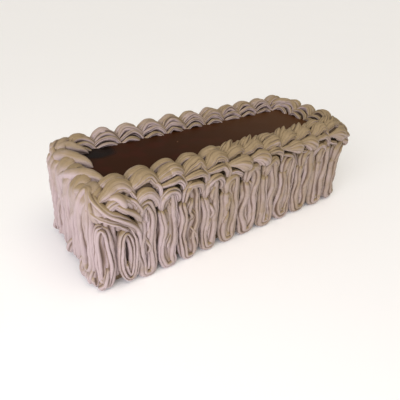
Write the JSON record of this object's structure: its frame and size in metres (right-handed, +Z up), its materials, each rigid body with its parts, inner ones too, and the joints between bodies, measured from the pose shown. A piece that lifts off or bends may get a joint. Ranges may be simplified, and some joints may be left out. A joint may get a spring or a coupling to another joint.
{
  "type": "iced swiss roll cake",
  "caption": "Whole bar-shaped roll cake iced all over, with upright piped loops round its sides, a border of piped shells and a glossy chocolate glaze on top.",
  "frame": {"origin": "middle of the cake's flat underside, on the surface that it stands on", "axes": "+X along the cake, towards the heads of the front row of shells; -Y towards the front long side; +Z up"},
  "size_m": [0.3006, 0.1186, 0.0953],
  "materials": {
    "crumb_coat": "matte thin coat of chocolate buttercream over sponge",
    "chocolate_glaze": "glossy dark chocolate glaze",
    "buttercream": "soft satin chocolate buttercream, pinkish beige",
    "border_cream": "soft satin chocolate buttercream, a little darker and browner"
  },
  "bodies": {
    "root": {"cake_body": "crumb_coat", "chocolate_glaze": "chocolate_glaze", "piping_front": "buttercream", "piping_back": "buttercream", "piping_left": "buttercream", "piping_right": "buttercream", "border_front": "border_cream", "border_back": "border_cream", "border_left": "border_cream", "border_right": "border_cream"}
  },
  "joints": []
}
